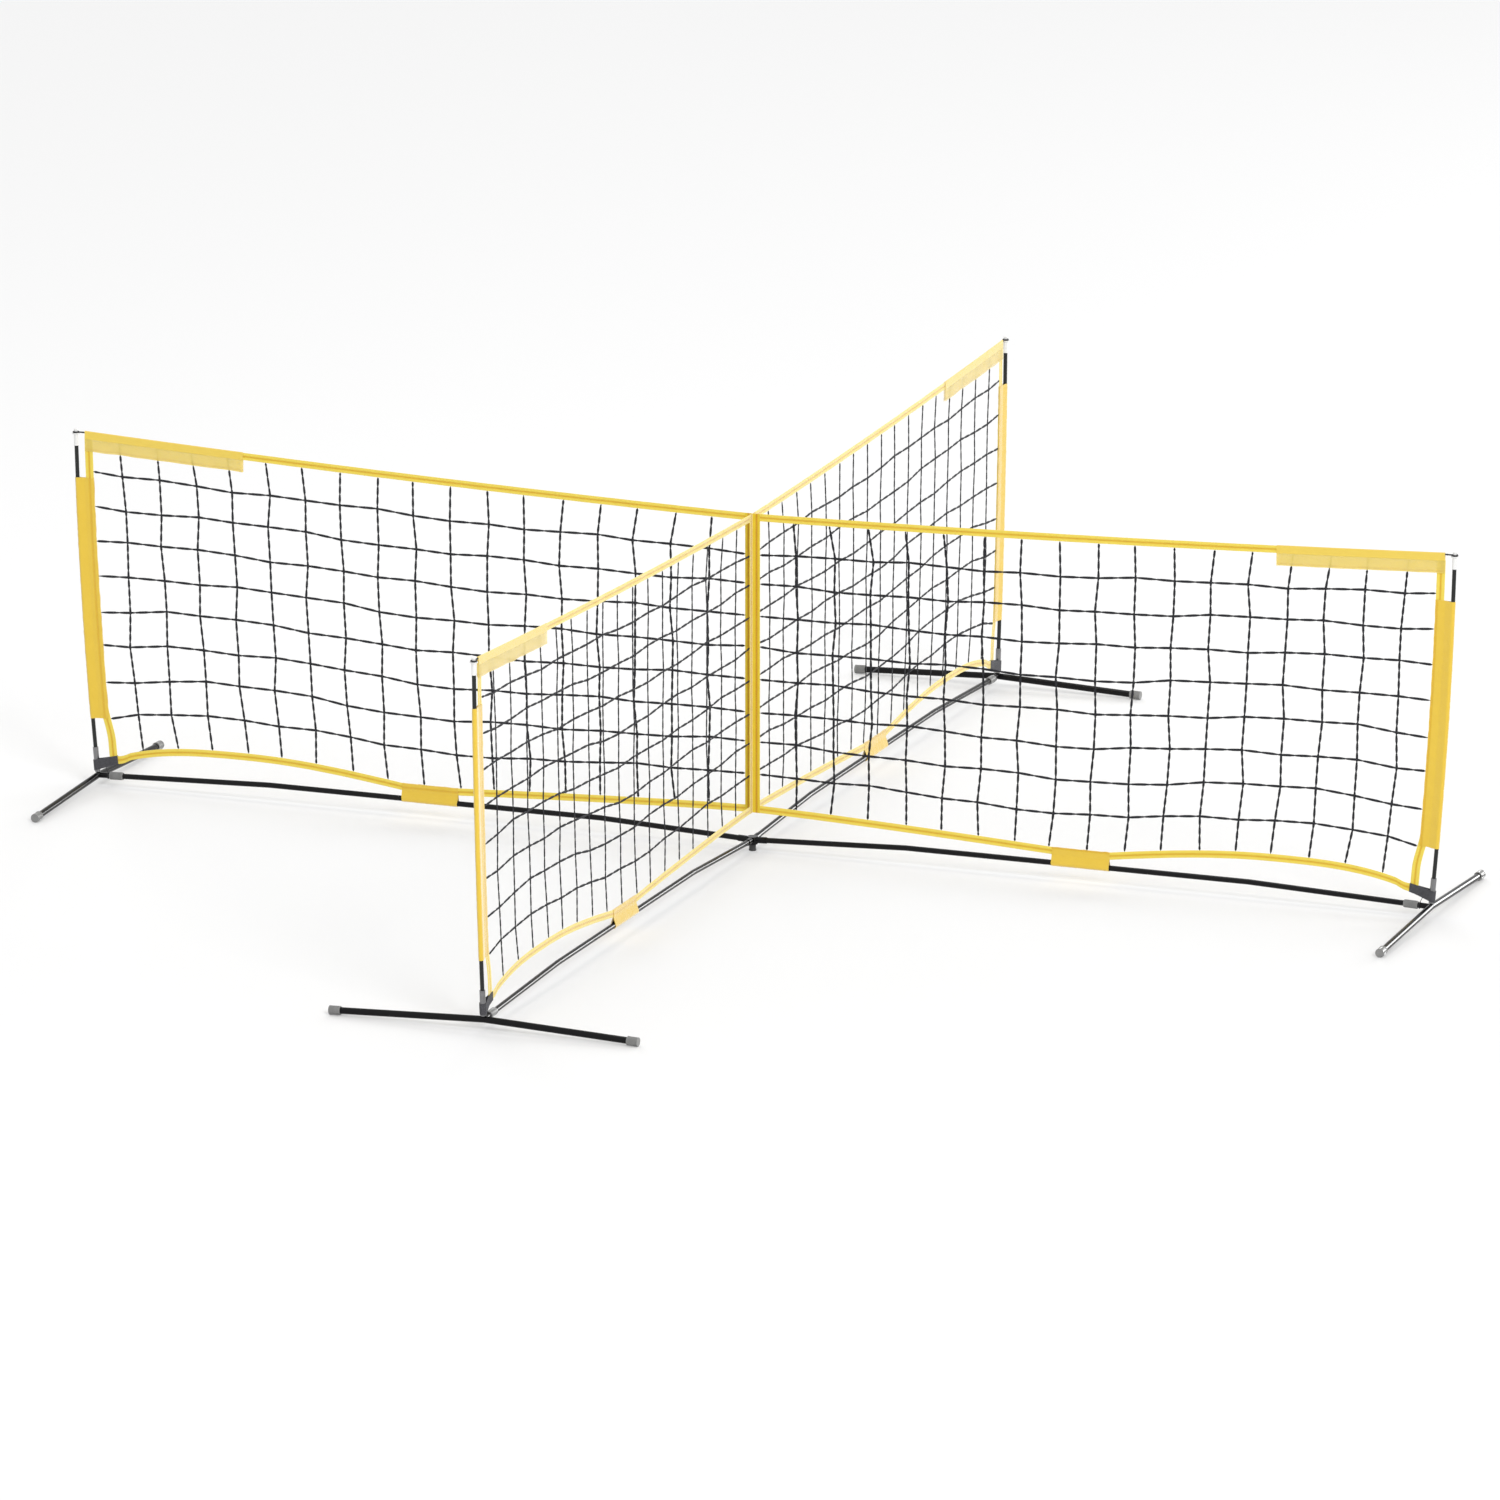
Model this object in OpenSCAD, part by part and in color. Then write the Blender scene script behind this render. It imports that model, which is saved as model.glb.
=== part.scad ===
// Four-way ball net: four net panels in a cross, stretched between bowed posts on T-shaped feet.
// Millimetres, +Z up, origin on the ground under the hub. The four arms are alike: each one is
// drawn along +X and turned into place. Inside an arm, x is the distance from the hub's axis.

/* [Ground frame] */
// Distance from the hub's axis to the middle of each foot
arm_reach = 2000; // [1700:10:2400]
// Outer diameter of a ground pole
pole_od = 15.5; // [14:0.1:17]
// Wall of a ground pole
pole_wall = 1.2; // [1:0.1:2]
// Height of a ground pole's axis along its raised middle
pole_crown_z = 50.5; // [46:0.5:58]
// Height of the ground poles' axes where they meet under the net
hub_axis_z = 30.7; // [28:0.1:40]
// Distance from the hub's axis to the inner bend of a ground pole
bend_in = 458; // [300:1:600]
// Distance from the outer bend of a ground pole to the foot
bend_out = 530; // [350:1:640]
// Distance from the hub's axis to the mouth of a hub socket
hub_reach = 42; // [34:1:60]
// Wall of a hub socket
hub_wall = 1.4; // [1:0.1:2]
// Diameter of the rubber foot under the hub
hub_foot_d = 21; // [18:0.5:25]

/* [Feet] */
// Length of a foot over its two end caps
foot_span = 890; // [700:5:1100]
// Outer diameter of the foot's bent cross tube
leg_od = 18.5; // [16:0.1:20]
// Wall of the cross tube
leg_wall = 1.2; // [1:0.1:2.5]
// Height of the cross tube's axis at its bend
leg_crown_z = 31; // [28:0.5:36]
// Outer diameter of a ribbed end cap
cap_od = 25; // [23:0.5:28]
// Length of a ribbed end cap
cap_len = 32; // [24:1:44]
// Outer diameter of the stub that the ground pole plugs onto
stub_od = 16; // [15:0.1:17]
// Distance from the foot's middle to the joint of stub and ground pole
joint_back = 58; // [52:1:75]
// Length of the spigot inside the ground pole
spigot_len = 30; // [20:1:45]
// Outer diameter of the ribbed locking collar
collar_od = 22.5; // [21:0.5:25]
// Length of the ribbed locking collar
collar_len = 41; // [30:1:46]

/* [Posts] */
// Outward lean of a post at its foot, in degrees
post_lean = 5.15; // [4:0.05:6]
// Radius of a post's bow
post_bow_r = 14600; // [12000:100:20000]
// Diameter of a post's fibreglass rod
rod_od = 11.5; // [10:0.1:13]
// Diameter of the peg on the foot
peg_od = 10; // [8:0.1:11.5]
// Outer diameter of the metal socket that joins peg and rod
socket_od = 16; // [15:0.1:18]
// Height of the socket's upper end
socket_top_z = 113; // [100:1:130]
// Outer diameter of the white cap on the rod's top
top_cap_od = 13.5; // [13:0.1:16]
// Diameter of the flange that the corner cord lies on
flange_od = 22; // [19:0.5:28]
// Diameter of the small head over the cord
head_od = 12.5; // [11:0.1:16]

/* [Net] */
// Height of the net's upper edge where the four panels meet
net_top_centre = 971; // [900:1:1030]
// Height of the net's upper edge at a post
net_top_post = 1035; // [990:1:1100]
// Sag of the upper edge below a straight line
net_top_sag = 8; // [0:0.5:20]
// Height of the bottom tape's upper edge where the four panels meet
net_bottom_centre = 131; // [118:1:170]
// Height of the bottom tape's upper edge at its hump near a post
net_hump_z = 137; // [120:1:170]
// Distance from the foot's middle to that hump
net_hump_back = 457; // [380:1:520]
// Height of the bottom tape's upper edge at the post's strap
net_corner_z = 92; // [86:1:98]
// Number of upright cords in a panel
upright_cords = 17; // [10:1:22]
// Number of level cords in a panel
level_cords = 8; // [5:1:11]
// Width of a net cord
cord_w = 7.2; // [3:0.1:9]
// Thickness of a net cord
cord_t = 3.2; // [2:0.1:4]
// How far the knots wander from an even grid
cord_wander = 6; // [0:0.5:8]
// How far the upper ends of the outer and inner cords fan out along the top tape
end_fan = 16; // [0:1:25]

/* [Tapes and sleeves] */
// Width of the top and bottom tapes
tape_w = 21; // [16:0.5:26]
// Width of the side tapes
side_w = 24; // [18:0.5:24]
// Thickness of a sewn tape
tape_t = 1.6; // [1.2:0.1:2.2]
// Reach of each fin of the centre seam
seam_w = 22; // [16:0.5:30]
// Thickness of the sleeves' and bands' cloth
cloth_t = 0.9; // [0.6:0.1:1.4]
// Distance from a post's axis to the inner edge of its sleeve
sleeve_w = 50; // [46:0.5:56]
// Height of a post sleeve's lower end
sleeve_low_z = 198; // [180:1:300]
// Height of a post sleeve's upper end
sleeve_high_z = 900; // [700:1:930]
// Length of the doubled band on the top tape
band_len = 486; // [300:1:700]
// Height of the doubled band
band_h = 56; // [40:1:75]
// Distance from the hub's axis to the middle of the sleeve on the ground pole
tab_reach = 976; // [800:1:1150]
// Length of the sleeve on the ground pole
tab_len = 170; // [100:1:250]
// Height of the sleeve on the ground pole, from the pole's axis to its upper edge
tab_h = 45; // [42:0.5:50]
// Width of the webbing strap between net and post
strap_w = 25; // [20:0.5:30]
// Thickness of the strap's webbing
strap_t = 1.6; // [1.2:0.1:2]
// Diameter of the black corner cord
corner_cord_d = 4.4; // [2.5:0.1:5]
// Diameter of the thin tie cord
tie_cord_d = 1.8; // [1.2:0.1:2.5]

/* [Hidden] */
$fn = 48;
gap = 0.3;              // clearance round soft pieces and between seated ends
fit = 0.15;             // radial clearance of plugged tubes
rib_count = 30;         // ribs round a cap or a collar
rib_depth = 0.7;
rim_proud = 0.3;        // smooth rims stand this much over the ribs
bend_swell = 0.1;       // a tube is this much thicker in radius at a bend
bend_inset = 0.6;       // straight tubes end this far inside the ball of a bend
cap_end_t = 3;          // closed end of a foot cap
hub_core_r = 15;        // solid core that stops the ground poles
arc_fn = 2880;          // fine steps for the shallow bows
tube_fn = 48;           // steps round a tube that follows a bow

ARMS = [["right", 0], ["back", 90], ["left", 180], ["front", 270]];
ARM_PARTS = [
    "foot", "post_socket", "post", "lock_collar", "ground_pole", "net_mesh", "top_tape",
    "bottom_tape", "side_tape", "top_band", "post_sleeve", "pole_sleeve", "strap"
];
SHARED_PARTS = [
    "hub", "hub_foot", "centre_seam", "foot_caps", "top_caps", "corner_cords", "tie_cords"
];

tape_yellow = "#EFC32E";
sleeve_yellow = "#E8B522";
tube_black = "#1B1B1D";
webbing_grey = "#3A3B3F";
cap_grey = "#8F9193";

// ---- The post's bow: one circle in the arm's plane, from the foot's middle upward ----

bow_cx = arm_reach - post_bow_r * cos(post_lean);
bow_cz = leg_crown_z + post_bow_r * sin(post_lean);

// Distance of the post's axis from the hub's axis, at height z
function post_x(z) = bow_cx + sqrt(pow(post_bow_r, 2) - pow(bow_cz - z, 2));

// Outward tilt of the post at height z
function post_tilt(z) = asin((bow_cz - z) / post_bow_r);

// Sweeps a section, whose own x points away from the hub, along the bow from height z0 to z1
module post_arc(z0, z1) {
    translate([bow_cx, 0, bow_cz])
        rotate([90, 0, 0])
            rotate([0, 0, -post_tilt(z0)])
                rotate_extrude(angle = post_tilt(z0) - post_tilt(z1), $fn = arc_fn)
                    translate([post_bow_r, 0])
                        children();
}

// Lays a flat outline of the given thickness in the arm's plane
module upright(t) {
    translate([0, t / 2, 0])
        rotate([90, 0, 0])
            linear_extrude(t)
                children();
}

// Stands a piece on the post's axis at height z, tilted as the post is there
module on_post(z) {
    translate([post_x(z), 0, z])
        rotate([0, post_tilt(z), 0])
            children();
}

// ---- The ground pole: straight, bent, level, bent and straight again ----

bend_out_x = arm_reach - bend_out;
rise_in = atan((pole_crown_z - hub_axis_z) / bend_in);
drop_out = atan((pole_crown_z - leg_crown_z) / bend_out);
joint_x = arm_reach - joint_back * cos(drop_out);
joint_z = leg_crown_z + joint_back * sin(drop_out);

// A round bar in the arm's plane, from point p to point q
module bar(p, q, r) {
    d = q - p;
    translate([p[0], 0, p[1]])
        rotate([0, 90 - atan2(d[1], d[0]), 0])
            cylinder(h = norm(d), r = r);
}

// A bent round bar through points, each bend rounded by a ball that stands bend_swell proud
module bent_bar(points, r) {
    last = len(points) - 1;
    for (i = [0:last - 1]) {
        u = (points[i + 1] - points[i]) / norm(points[i + 1] - points[i]);
        bar(
            points[i] + (i == 0 ? 0 : bend_inset) * u,
            points[i + 1] - (i == last - 1 ? 0 : bend_inset) * u,
            r
        );
    }
    for (i = [1:last - 1])
        translate([points[i][0], 0, points[i][1]])
            sphere(r + bend_swell, $fn = 96);
}

module ground_pole() {
    up = [cos(rise_in), sin(rise_in)];
    down = [cos(drop_out), -sin(drop_out)];
    start = [0, hub_axis_z] + (hub_core_r + gap) * up;
    finish = [joint_x, joint_z] - gap * down;
    bends = [[bend_in, pole_crown_z], [bend_out_x, pole_crown_z]];
    color(tube_black)
        difference() {
            bent_bar(concat([start], bends, [finish]), pole_od / 2);
            bent_bar(concat([start - up], bends, [finish + down]), pole_od / 2 - pole_wall);
        }
}

// Stands a piece on the pole's outer stretch, with its own z pointing to the foot
module on_pole_end(back) {
    translate([arm_reach - back * cos(drop_out), 0, leg_crown_z + back * sin(drop_out)])
        rotate([0, 90 + drop_out, 0])
            children();
}

// ---- Feet ----

leg_half = foot_span / 2;
leg_slope = asin(leg_crown_z / norm([leg_half, cap_od / 2])) - atan(cap_od / 2 / leg_half);
leg_len = leg_half / cos(leg_slope) - cap_end_t;
spigot_od = pole_od - 2 * (pole_wall + fit);

// Runs a piece along one leg of the foot, with its own z pointing outward; side is 1 or -1
module on_leg(side) {
    translate([arm_reach, 0, leg_crown_z])
        rotate([-side * (90 + leg_slope), 0, 0])
            children();
}

module foot() {
    color(tube_black)
        difference() {
            union() {
                for (side = [1, -1])
                    on_leg(side)
                        translate([0, 0, bend_inset])
                            cylinder(h = leg_len - bend_inset - gap, d = leg_od);
                translate([arm_reach, 0, leg_crown_z])
                    sphere(leg_od / 2 + bend_swell, $fn = 96);
                on_pole_end(joint_back)
                    cylinder(h = joint_back, d = stub_od);
                on_pole_end(joint_back + spigot_len)
                    cylinder(h = spigot_len + 1, d = spigot_od);
                post_arc(leg_crown_z, peg_top_z)
                    circle(d = peg_od, $fn = tube_fn);
            }
            for (side = [1, -1])
                on_leg(side)
                    translate([0, 0, leg_od])
                        cylinder(h = leg_len, d = leg_od - 2 * leg_wall);
        }
}

// Outline of a ribbed grip: rib_count teeth of rib_depth round radius r
module ribbed_disc(r) {
    step = 360 / rib_count;
    polygon([
        for (i = [0:rib_count - 1], k = [0:3])
            let (a = (i + [0, 0.3, 0.5, 0.8][k]) * step, q = k < 2 ? r : r - rib_depth)
                q * [cos(a), sin(a)]
    ]);
}

// A cap for a tube's end: own z outward, mouth at 0, closed end at cap_len
module foot_cap() {
    r = cap_od / 2;
    difference() {
        union() {
            translate([0, 0, 3])
                linear_extrude(cap_len - 6)
                    ribbed_disc(r - rim_proud);
            rotate_extrude()
                polygon([[0, 0], [r - 1, 0], [r, 1], [r, 3], [0, 3]]);
            translate([0, 0, cap_len - 3])
                rotate_extrude()
                    polygon([[0, 0], [r, 0], [r, 3], [0, 3]]);
        }
        translate([0, 0, -1])
            cylinder(h = cap_len - cap_end_t + 1, d = leg_od + 2 * fit);
    }
}

module foot_caps() {
    color(cap_grey)
        for (a = ARMS, side = [1, -1])
            rotate([0, 0, a[1]])
                on_leg(side)
                    translate([0, 0, leg_len + cap_end_t - cap_len])
                        foot_cap();
}

// The collar grips the stub and the pole's end, half of its length on each
module lock_collar() {
    r = collar_od / 2;
    bore_r = max(stub_od, pole_od) / 2 + fit / 2;
    color(cap_grey)
        on_pole_end(joint_back)
            difference() {
                union() {
                    translate([0, 0, 3 - collar_len / 2])
                        linear_extrude(collar_len - 6)
                            ribbed_disc(r);
                    for (end = [0, 1])
                        mirror([0, 0, end])
                            translate([0, 0, collar_len / 2 - 3])
                                rotate_extrude()
                                    polygon([[0, 0], [r - 0.4, 0], [r - 0.4, 2], [r - 1.4, 3], [0, 3]]);
                }
                translate([0, 0, -collar_len])
                    cylinder(h = 2 * collar_len, r = bore_r);
            }
}

// ---- Posts ----

peg_top_z = (leg_crown_z + socket_top_z) / 2;
socket_low_z = leg_crown_z + leg_od / 2 + 1;
rod_low_z = peg_top_z + 3;
rod_high_z = net_top_post - 13;
cap_low_z = rod_high_z - 30;

module post_socket() {
    color("#B9BBBE")
        difference() {
            post_arc(socket_low_z, socket_top_z)
                circle(d = socket_od, $fn = tube_fn);
            post_arc(socket_low_z - 1, peg_top_z + gap)
                circle(d = peg_od + 2 * fit, $fn = tube_fn);
            post_arc(rod_low_z - gap, socket_top_z + 1)
                circle(d = rod_od + 2 * fit, $fn = tube_fn);
        }
}

module post() {
    color(tube_black)
        post_arc(rod_low_z, rod_high_z)
            circle(d = rod_od, $fn = tube_fn);
}

// Profile of the top cap: sleeve on the rod, flange under the cord, neck, small domed head
neck_r = 4.8;
flange_t = 2.5;
head_t = 2;
groove_low = 36.5;
groove_high = groove_low + 2 * corner_cord_d;
cord_seat = groove_low + gap + corner_cord_d / 2;

module top_cap() {
    r = top_cap_od / 2;
    f = flange_od / 2;
    h = head_od / 2;
    difference() {
        rotate_extrude()
            polygon(concat(
                [[0, 0], [r, 0], [r, groove_low - flange_t - 2], [f, groove_low - flange_t]],
                [[f, groove_low], [neck_r, groove_low], [neck_r, groove_high], [h, groove_high]],
                [for (a = [0:15:90]) [h * cos(a), groove_high + head_t + 2.5 * sin(a)]]
            ));
        translate([0, 0, -1])
            cylinder(h = 31 + gap, d = rod_od + 2 * fit);
    }
}

module top_caps() {
    color("#F2F2F0")
        for (a = ARMS)
            rotate([0, 0, a[1]])
                on_post(cap_low_z)
                    top_cap();
}

// ---- Hub ----

module hub() {
    r = pole_od / 2 + fit + hub_wall;
    color(tube_black)
        difference() {
            union() {
                for (a = ARMS)
                    rotate([0, 0, a[1]])
                        bar([0, hub_axis_z], [0, hub_axis_z] + hub_reach * [cos(rise_in), sin(rise_in)], r);
                translate([0, 0, hub_axis_z - r - 2])
                    cylinder(h = 2 * r + 3, r = hub_core_r);
                translate([0, 0, 4])
                    cylinder(h = hub_axis_z - 4, r = hub_foot_d / 2 - 3);
            }
            for (a = ARMS)
                rotate([0, 0, a[1]])
                    bar(
                        [0, hub_axis_z] + hub_core_r * [cos(rise_in), sin(rise_in)],
                        [0, hub_axis_z] + (hub_reach + 1) * [cos(rise_in), sin(rise_in)],
                        pole_od / 2 + fit
                    );
        }
}

module hub_foot() {
    top = hub_axis_z - pole_od / 2 - fit - hub_wall - 2 - gap;
    r = hub_foot_d / 2;
    color(webbing_grey)
        difference() {
            rotate_extrude()
                polygon([[0, 0], [r - 1, 0], [r, 1], [r, 4], [r - 0.8, 6], [r - 0.8, top], [0, top]]);
            translate([0, 0, 4 - gap])
                cylinder(h = top, r = r - 3 + fit);
        }
}

// ---- Net edges, as functions in the arm's plane ----

net_reach = post_x(net_top_post) - 28;
tab_in = tab_reach - tab_len / 2;
tab_out = tab_reach + tab_len / 2;
tab_edge_z = pole_crown_z + tab_h;
hump_x = arm_reach - net_hump_back;

// Upper edge of the top tape
function top_edge(x) =
    let (t = (x - seam_w) / (net_reach - seam_w))
    net_top_centre + (net_top_post - net_top_centre) * t - 4 * net_top_sag * t * (1 - t);

// Inner edge of the side tape: beside the sleeve, then drawn in to the strap
function ease(t) = (1 - cos(180 * max(0, min(1, t)))) / 2;
function side_in(z) = post_x(z) - sleeve_w - 16 * ease((sleeve_low_z + 52 - z) / 120);
corner_x = side_in(net_corner_z);

// Upper edge of the bottom tape: down to the pole's sleeve, over the hump, down to the strap
function bottom_edge(x) =
    x < tab_in
        ? net_bottom_centre
            - (net_bottom_centre - tab_edge_z) * pow(max(0, x - seam_w) / (tab_in - seam_w), 1.3)
    : x < tab_out ? tab_edge_z
    : x < hump_x ? tab_edge_z + (net_hump_z - tab_edge_z) * sin(90 * (x - tab_out) / (hump_x - tab_out))
    : net_hump_z
        - (net_hump_z - net_corner_z) * pow(min(1, (x - hump_x) / (corner_x - hump_x)), 3);

// n + 1 even steps from a to b
function steps(a, b, n) = [for (i = [0:n]) a + (b - a) * i / n];

// ---- Tapes ----

module top_tape() {
    xs = steps(seam_w + gap, net_reach, 24);
    color(tape_yellow)
        upright(tape_t)
            polygon(concat(
                [for (x = xs) [x, top_edge(x)]],
                [for (i = [24:-1:0]) [xs[i], top_edge(xs[i]) - tape_w]]
            ));
}

module bottom_tape() {
    xs = concat(
        steps(seam_w + gap, tab_in, 10),
        steps(tab_out, hump_x, 10),
        steps(hump_x + 40, corner_x - 20, 8)
    );
    end_high = net_corner_z;
    end_low = net_corner_z - tape_w - 2;
    color(tape_yellow)
        upright(tape_t)
            polygon(concat(
                [for (x = xs) [x, bottom_edge(x)]],
                [[side_in(end_high) - gap, end_high], [side_in(end_low) - gap, end_low]],
                [for (i = [len(xs) - 1:-1:0]) [xs[i], bottom_edge(xs[i]) - tape_w]]
            ));
}

module side_tape() {
    zs = steps(net_corner_z - tape_w - 2, net_top_post - tape_w - 8, 32);
    in_x = side_in(net_top_post - tape_w);
    out_x = in_x + side_w;
    color(tape_yellow)
        upright(tape_t)
            polygon(concat(
                [for (z = zs) [side_in(z), z]],
                [
                    [in_x, top_edge(in_x) - tape_w - gap],
                    [out_x, top_edge(out_x) - tape_w - gap]
                ],
                [for (i = [len(zs) - 1:-1:0]) [side_in(zs[i]) + side_w, zs[i]]]
            ));
}

// Four fins sewn together where the panels meet
module centre_seam() {
    low = bottom_edge(seam_w) - tape_w;
    color(tape_yellow)
        translate([0, 0, low])
            linear_extrude(top_edge(seam_w) - low)
                for (a = [0, 90])
                    rotate(a)
                        square([2 * seam_w, tape_t], center = true);
}

// A band folded over the top tape, open below, where the cords show between its leaves
module top_band() {
    slot = max(tape_t, cord_t) + 2 * gap;
    xs = steps(net_reach - band_len, net_reach, 8);
    color(sleeve_yellow)
        difference() {
            upright(slot + 2 * cloth_t)
                polygon(concat(
                    [for (x = xs) [x, top_edge(x) + gap + cloth_t]],
                    [for (i = [8:-1:0]) [xs[i], top_edge(xs[i]) - band_h]]
                ));
            upright(slot)
                polygon(concat(
                    [[xs[0] - 1, top_edge(xs[0]) + gap]],
                    [for (x = xs) [x, top_edge(x) + gap]],
                    [[xs[8] + 1, top_edge(xs[8]) + gap]],
                    [[xs[8] + 1, top_edge(xs[8]) - 2 * band_h]],
                    [[xs[0] - 1, top_edge(xs[0]) - 2 * band_h]]
                ));
        }
}

// ---- Sleeves: cloth round a tube, whose two leaves lie on both sides of a tape ----

// Angle past square at which a line from (d, h) touches a circle of radius r
function touch(r, d, h) = asin(r / norm([d, h])) - atan2(h, d);

// Half outline of the loop: the leaf's end, its fold and the arc round the tube
function loop_half(r, d, h, tail) =
    let (b = touch(r, d, h), n = 9)
    concat(
        [[-tail, h], [-d, h]],
        [for (i = [0:n - 1]) let (a = (90 + b) * (1 - i / n)) r * [cos(a), sin(a)]]
    );

function flip(points) = [for (i = [len(points) - 1:-1:0]) [points[i][0], -points[i][1]]];

// Cloth of thickness t round a tube of radius r, leaves from d to tail over a tape tape_t thick
module loop_section(r, d, tail, t) {
    outer = loop_half(r + gap + t, d, tape_t / 2 + gap + t, tail);
    inner = loop_half(r + gap, d, tape_t / 2 + gap, tail);
    polygon(concat(
        outer,
        [[r + gap + t, 0]],
        flip(outer),
        [for (i = [0:len(inner) - 1]) [inner[i][0], -inner[i][1]]],
        [[r + gap, 0]],
        [for (i = [len(inner) - 1:-1:0]) inner[i]]
    ));
}

module post_sleeve() {
    color(sleeve_yellow)
        post_arc(sleeve_low_z, sleeve_high_z)
            loop_section(rod_od / 2, sleeve_w - side_w - 4, sleeve_w, cloth_t);
}

module pole_sleeve() {
    color(sleeve_yellow)
        translate([tab_in, 0, pole_crown_z])
            rotate([90, 0, 90])
                linear_extrude(tab_len)
                    rotate(-90)
                        loop_section(pole_od / 2, tab_h - tape_w - 2, tab_h, cloth_t);
}

// Webbing looped round the post's socket, its ends sewn to both sides of the net's corner
strap_tail = sleeve_w + 17;
strap_fall = 19;
function strap_low(x) =
    net_corner_z + 1 - strap_w - (strap_fall + 5) * (x - corner_x) / (strap_tail + socket_od / 2);

module strap() {
    near_x = corner_x - 10;
    far_x = arm_reach + 20;
    far_z = net_corner_z + 1 - strap_fall;
    color(webbing_grey)
        intersection() {
            post_arc(leg_crown_z + 1, net_corner_z + 20)
                loop_section(socket_od / 2, strap_tail - side_w - 4, strap_tail, strap_t);
            upright(4 * socket_od)
                polygon([
                    [near_x, net_corner_z + 1],
                    [corner_x, net_corner_z + 1],
                    [far_x, far_z],
                    [far_x, strap_low(far_x)],
                    [corner_x, strap_low(corner_x)],
                    [near_x, strap_low(corner_x)]
                ]);
        }
}

// ---- Cords ----

// Loop round the top cap's neck and its end on the tape's corner
module corner_cord() {
    r = corner_cord_d / 2;
    ring = neck_r + gap + r;
    on_post(cap_low_z)
        translate([0, 0, cord_seat]) {
            rotate_extrude()
                translate([ring, 0])
                    circle(r);
            rotate([0, -90, 0])
                translate([0, 0, ring])
                    cylinder(h = post_x(net_top_post) - net_reach - ring - gap, r = r);
        }
}

module corner_cords() {
    color(tube_black)
        for (a = ARMS)
            rotate([0, 0, a[1]])
                corner_cord();
}

// Loop round the foot's stub, and its strand up to the strap's lower edge
tie_back = joint_back - collar_len / 2 - 5;

module tie_cord() {
    r = tie_cord_d / 2;
    ring = stub_od / 2 + gap + r;
    low = [arm_reach - tie_back * cos(drop_out), leg_crown_z + tie_back * sin(drop_out) + ring];
    high_x = low[0] + 8;
    on_pole_end(tie_back)
        rotate_extrude()
            translate([ring, 0])
                circle(r);
    bar(low, [high_x, strap_low(high_x) - gap - 0.2], r);
}

module tie_cords() {
    color(tube_black)
        for (a = ARMS)
            rotate([0, 0, a[1]])
                tie_cord();
}

// ---- The knotted mesh of one panel ----

last_col = upright_cords + 1;
last_row = level_cords + 1;
mesh_pitch = (side_in(net_top_post) - seam_w) / (upright_cords + 0.86);
half_w = cord_w / 2;

// A gentle, repeatable wander for the knot in column i and row k
function wander(i, k, s) = cord_wander * (sin(127 * i + 71 * k + s) + sin(53 * i - 149 * k + 2 * s)) / 2;

// Rough height of row k at the post, to lean the columns with the side tape
function row_z(k) = net_top_post - tape_w - (net_top_post - tape_w - net_corner_z) * k / last_row;

function col_x(i, k) =
    i == 0 ? seam_w + gap
    : i == last_col ? side_in(knot_z(side_in(row_z(k)), i, k)) - gap
    : seam_w + i * mesh_pitch
        - 0.75 * (side_in(net_top_post) - side_in(row_z(k))) * i / upright_cords
        + (k == 0 ? end_fan * (2 * i / last_col - 1) : 0)
        + wander(i, k, 40);

function knot_z(x, i, k) =
    let (
        high = top_edge(x) - tape_w - gap,
        low = bottom_edge(x) + gap,
        lift = 14 * sin(180 * k / last_row) * pow(x / arm_reach, 4)
    )
    k == 0 ? high
    : k == last_row ? low
    : high - (high - low) * k / last_row + lift + wander(i, k, 200);

function knot(i, k) = let (x = col_x(i, k)) [x, knot_z(x, i, k)];

// Corner of the cord crossing (i, k) on the side given by sx and sz
function corner(i, k, sx, sz) = knot(i, k) + half_w * [sx, sz];

// Cord ends that meet a tape, cut along its edge
function end_high(i, sx) = let (x = col_x(i, 0) + sx * half_w) [x, knot_z(x, i, 0)];
function end_low(i, sx) = let (x = col_x(i, last_row) + sx * half_w) [x, knot_z(x, i, last_row)];
function end_in(k, sz) = knot(0, k) + [0, sz * half_w];
function end_out(k, sz) =
    let (z = knot(last_col, k)[1] + sz * half_w)
    [side_in(z) - gap, z];

function top_comb() = [
    for (i = [1:upright_cords])
        each [corner(i, 1, -1, 1), end_high(i, -1), end_high(i, 1), corner(i, 1, 1, 1)]
];
function outer_comb() = [
    for (k = [1:level_cords])
        each concat(
            k == 1 ? [] : [corner(upright_cords, k, 1, 1)],
            [end_out(k, 1), end_out(k, -1), corner(upright_cords, k, 1, -1)]
        )
];
function bottom_comb() = [
    for (i = [upright_cords:-1:1])
        each concat(
            i == upright_cords ? [] : [corner(i, level_cords, 1, -1)],
            [end_low(i, 1), end_low(i, -1), corner(i, level_cords, -1, -1)]
        )
];
function inner_comb() = [
    for (k = [level_cords:-1:1])
        each concat(
            k == level_cords ? [] : [corner(1, k, -1, -1)],
            [end_in(k, -1), end_in(k, 1)],
            k == 1 ? [] : [corner(1, k, -1, 1)]
        )
];

module net_mesh() {
    comb = concat(top_comb(), outer_comb(), bottom_comb(), inner_comb());
    windows = [
        for (i = [1:upright_cords - 1], k = [1:level_cords - 1])
            each [
                corner(i, k, 1, -1),
                corner(i + 1, k, -1, -1),
                corner(i + 1, k + 1, -1, 1),
                corner(i, k + 1, 1, 1)
            ]
    ];
    window_count = (upright_cords - 1) * (level_cords - 1);
    color(webbing_grey)
        upright(cord_t)
            polygon(
                points = concat(comb, windows),
                paths = concat(
                    [[for (i = [0:len(comb) - 1]) i]],
                    [for (w = [0:window_count - 1]) [for (i = [0:3]) len(comb) + 4 * w + i]]
                )
            );
}

// ---- Assembly ----

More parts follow.
